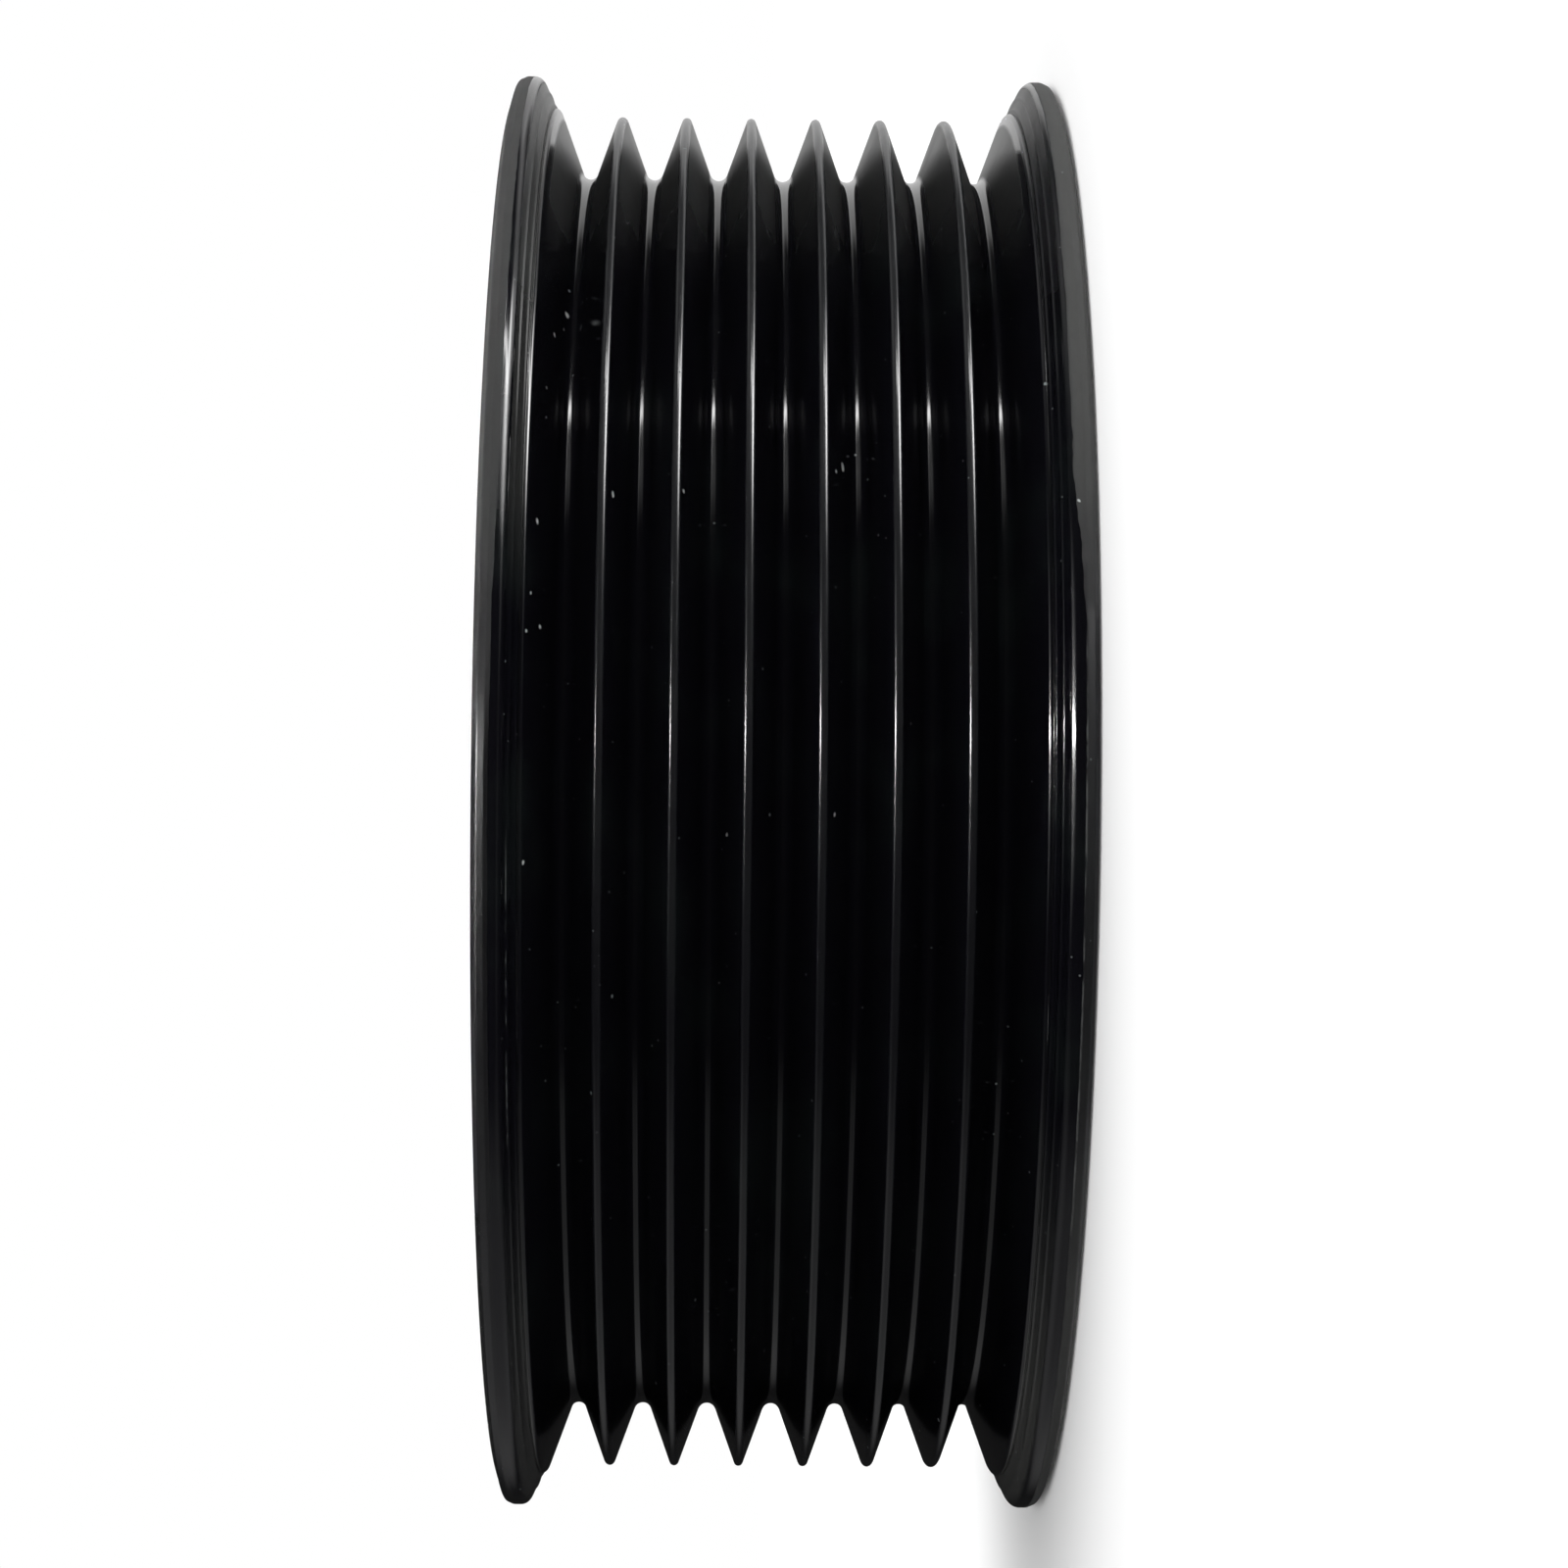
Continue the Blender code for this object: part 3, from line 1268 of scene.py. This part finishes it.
@dataclass(frozen=True)
class RoomPatch:
    """A rectangle in the room that the gloss paint mirrors, such as a lamp or a wall.

    Directions are (picture right, picture up, towards the camera), and sizes are in units of
    the distance to the patch.

    Attributes:
        toward: direction of its middle.
        along: direction of its length.
        half_length: half of its length.
        half_breadth: half of its breadth.
        strength: brightness.
        edge: how it fades out.
    """

    toward: Direction
    along: Direction
    half_length: float
    half_breadth: float
    strength: float
    edge: Edge = Edge.SOFT

    def axes(self) -> tuple[Vector, Vector, Vector]:
        """Directions of its middle, length and breadth in the pulley's frame.

        Picture right is -Z, picture up is +X and towards the camera is -Y. The length is
        taken square to the middle, and the breadth is square to both.

        Returns:
            The three directions, each of length 1.
        """
        middle, length = (Vector((up, -near, -right)).normalized()
                          for right, up, near in (self.toward, self.along))
        length = (length - middle * length.dot(middle)).normalized()
        return middle, length, middle.cross(length)

    def brightness(self, tree: ShaderTree, direction: Signal) -> Signal:
        """Brightness of the patch in a direction.

        With m, l and b the parts of the direction along the three axes, the direction meets
        the patch's plane at (l / m, b / m). The brightness is a product of two smooth steps
        there.

        Args:
            tree: the world's tree.
            direction: where the mirrored ray goes.

        Returns:
            The brightness there.
        """
        parts = [tree.vector("DOT_PRODUCT", direction, axis, output="Value")
                 for axis in self.axes()]
        depth = parts[0].largest(LEAST_DEPTH)
        fade = self.edge.value
        across = [(abs(part) / depth).ramp(half * (1 + fade), half * (1 - fade))
                  for part, half in zip(parts[1:], (self.half_length, self.half_breadth))]
        return across[0] * across[1] * self.strength


@dataclass
class Studio:
    """Floor, lights and camera.

    Attributes:
        patches: what the gloss paint mirrors.
        ambient: brightness of the rest of the room in mirrors.
        inner_mirror: share of the room's brightness that is left in mirrors of mirrors.
        dome: brightness of the soft light from above.
        low_share: brightness of the soft light from below, as a share of that.
        dome_rise: heights of a direction between which the soft light grows.
        floor_side: side of the floor in metres.
    """

    patches: tuple[RoomPatch, ...] = (
        # Ceiling lamp
        RoomPatch((0.38, 0.890, 0.251), (1.0, 0.0, -0.1), 0.52, 0.032, 23.0, Edge.FIRM),
        # Its near end at the right
        RoomPatch((0.62, 0.735, 0.275), (0.06, -0.2, 0.25), 0.14, 0.22, 17.0, Edge.FADING),
        # Window high at the right, its glow, and a second one behind it
        RoomPatch((0.71, 0.69, 0.07), (0.2, -0.5, 0.8), 0.19, 0.12, 9.0),
        RoomPatch((0.72, 0.67, -0.13), (0.45, -0.65, -1.0), 0.14, 0.10, 10.0, Edge.FADING),
        RoomPatch((0.80, 0.50, 0.30), (0.0, 1.0, 0.0), 0.20, 0.16, 0.5, Edge.FADING),
        RoomPatch((0.78, 0.44, -0.45), (0.5, -0.3, 0.5), 0.13, 0.10, 2.7),
        RoomPatch((0.70, 0.26, -0.66), (1.0, 0.0, 1.0), 0.13, 0.07, 0.9),
        RoomPatch((0.50, 0.34, -0.80), (1.0, 0.0, 1.0), 0.14, 0.10, 0.25),
        # Thin lamp at the left and its glow
        RoomPatch((-1.0, 0.107, 0.10), (0.0, 0.092, 1.0), 0.58, 0.010, 215.0, Edge.FIRM),
        RoomPatch((-1.0, 0.125, 0.30), (0.0, 0.092, 1.0), 0.33, 0.09, 2.4, Edge.FADING),
        RoomPatch((-1.0, 0.125, 0.30), (0.0, 0.092, 1.0), 0.33, 0.22, 1.5, Edge.FADING),
        # Ceiling: right, left and behind at the left, then its dim middle and front edge
        RoomPatch((0.45, 0.74, -0.46), (1.0, 0.0, 0.5), 0.28, 0.22, 0.8, Edge.FADING),
        RoomPatch((-0.62, 0.78, -0.10), (0.3, 0.2, 1.0), 0.38, 0.21, 0.38, Edge.FADING),
        RoomPatch((-0.62, 0.60, -0.52), (1.0, 0.0, 1.0), 0.28, 0.20, 0.12, Edge.FADING),
        RoomPatch((0.0, 1.0, 0.0), (1.0, 0.0, 0.0), 0.35, 0.40, 0.03, Edge.FADING),
        RoomPatch((0.0, 0.86, 0.50), (1.0, 0.0, 0.0), 0.30, 0.10, 0.7, Edge.FADING),
        # Backdrop
        RoomPatch((0.0, 0.50, -0.87), (1.0, 0.0, 0.0), 0.32, 0.50, 0.74, Edge.FIRM),
        # White sheet below, lighter at the left
        RoomPatch((0.0, -0.98, -0.10), (1.0, 0.0, 0.0), 1.3, 0.85, 0.23),
        RoomPatch((-0.70, -0.70, 0.05), (1.0, 0.0, 0.0), 0.4, 0.4, 0.12, Edge.FADING),
        # Low things behind, and the room in front at the right
        RoomPatch((0.65, -0.25, -0.71), (1.0, 0.0, 1.0), 0.22, 0.14, 0.05),
        RoomPatch((-0.65, -0.25, -0.71), (-1.0, 0.0, 1.0), 0.22, 0.14, 0.05),
        RoomPatch((0.87, 0.0, 0.48), (0.0, 1.0, 0.0), 0.6, 0.15, 0.1),
    )
    ambient: float = 0.012
    inner_mirror: float = 0.06
    dome: float = 2.5
    low_share: float = 0.26
    dome_rise: Span = (-0.4, 0.9)
    floor_side: float = 3.0

    def world(self) -> None:
        """Light the scene from the world.

        A camera ray sees plain white, a glossy ray the sum of the patches' brightness, and
        any other ray a dome whose light grows with the height of its direction.
        """
        world = bpy.data.worlds.new("studio")
        bpy.context.scene.world = world
        world.use_nodes = True
        world.cycles.sampling_method = "NONE"
        tree = ShaderTree(world.node_tree)
        direction = tree.signal("ShaderNodeTexCoord", output="Generated")
        room = Signal(tree, self.ambient)
        for patch in self.patches:
            room = patch.brightness(tree, direction) + room
        height = tree.axes(direction)[0]
        soft = height.ramp(*self.dome_rise).mixed(self.dome * self.low_share, self.dome)
        rays = tree.node("ShaderNodeLightPath")
        bounces = Signal(tree, rays.outputs["Glossy Depth"])
        room = room * bounces.above(SECOND_MIRROR).mixed(1.0, self.inner_mirror)
        white, dome, mirrored = (
            tree.node("ShaderNodeBackground", {}, {"Strength": strength, "Color": (1, 1, 1, 1)})
            for strength in (1.0, soft, room))
        lit = tree.node("ShaderNodeMixShader", {},
                        {0: rays.outputs["Is Glossy Ray"], 1: dome.outputs[0],
                         2: mirrored.outputs[0]})
        seen = tree.node("ShaderNodeMixShader", {},
                         {0: rays.outputs["Is Camera Ray"], 1: lit.outputs[0],
                          2: white.outputs[0]})
        tree.node("ShaderNodeOutputWorld", {}, {"Surface": seen.outputs[0]})

    def floor(self) -> bpy.types.Object:
        """Lay the pale floor under the pulley and leave it out of mirror images.

        Returns:
            The floor.
        """
        half = self.floor_side / 2
        mesh = bpy.data.meshes.new("studio_floor")
        corners = [(-half, -half, 0.0), (half, -half, 0.0), (half, half, 0.0),
                   (-half, half, 0.0)]
        mesh.from_pydata(corners, [], [(0, 1, 2, 3)])
        floor = bpy.data.objects.new("studio_floor", mesh)
        bpy.context.scene.collection.objects.link(floor)
        mesh.materials.append(StudioWhite().material())
        floor.visible_glossy = False
        return floor


@dataclass(frozen=True)
class Viewpoint:
    """The photograph's camera, in mm and degrees.

    Attributes:
        focal_pixels: focal length in pixels of the photograph.
        distance: from the camera to the shaft axis.
        shift_right: how far the pulley's middle lies left of the camera's axis.
        shift_up: how far it lies below that axis.
        yaw: turn of the pulley about the picture's upright.
        roll: turn of the picture.
        clip_start: nearest distance that is drawn, in metres.
    """

    focal_pixels: float = 3890.2
    distance: float = 218.16
    shift_right: float = -0.491
    shift_up: float = -0.481
    yaw: float = 0.842
    roll: float = -0.556
    clip_start: float = 0.01

    def place(self, width: float) -> bpy.types.Object:
        """Make the camera.

        The pulley's own axes are picture right (-Z), up (+X) and towards the camera (-Y).
        The camera's three axes are written in them, turned by yaw and then by roll.

        Args:
            width: the pulley's width in mm.

        Returns:
            The camera object.
        """
        yaw, roll = math.radians(self.yaw), math.radians(self.roll)
        right = np.array((math.cos(yaw), 0.0, math.sin(yaw)))
        up = np.array((0.0, 1.0, 0.0))
        toward = np.array((-math.sin(yaw), 0.0, math.cos(yaw)))
        eye = toward * self.distance - right * self.shift_right - up * self.shift_up
        rolled_right = math.cos(roll) * right - math.sin(roll) * up
        rolled_up = math.sin(roll) * right + math.cos(roll) * up
        to_frame = np.array(((0.0, 1.0, 0.0), (0.0, 0.0, -1.0), (-1.0, 0.0, 0.0)))
        axes = to_frame @ np.stack((rolled_right, rolled_up, toward), axis=1)
        seat = (to_frame @ eye + np.array((0.0, 0.0, width / 2))) * MM
        camera = bpy.data.cameras.new("camera")
        camera.sensor_width = SENSOR_WIDTH
        camera.lens = self.focal_pixels / PHOTO_SIDE * SENSOR_WIDTH
        camera.clip_start = self.clip_start
        thing = bpy.data.objects.new("camera", camera)
        bpy.context.scene.collection.objects.link(thing)
        pose = Matrix(axes.tolist()).to_4x4()
        pose.translation = Vector(seat)
        thing.matrix_world = pose
        bpy.context.scene.camera = thing
        return thing


def main() -> None:
    """Build the scene piece by piece."""
    logging.basicConfig(level=logging.INFO, format="%(name)s: %(message)s")
    bpy.context.scene.view_settings.view_transform = "Standard"
    pulley = Pulley()
    Viewpoint().place(pulley.section.width)
    LOG.info("camera placed")
    piece = pulley.build()
    pulley.dress(piece, GlossPaint())
    LOG.info("%s: %d faces", piece.name, len(piece.data.polygons))
    studio = Studio()
    studio.world()
    floor = studio.floor()
    LOG.info("%s laid", floor.name)


if __name__ == "__main__":
    main()
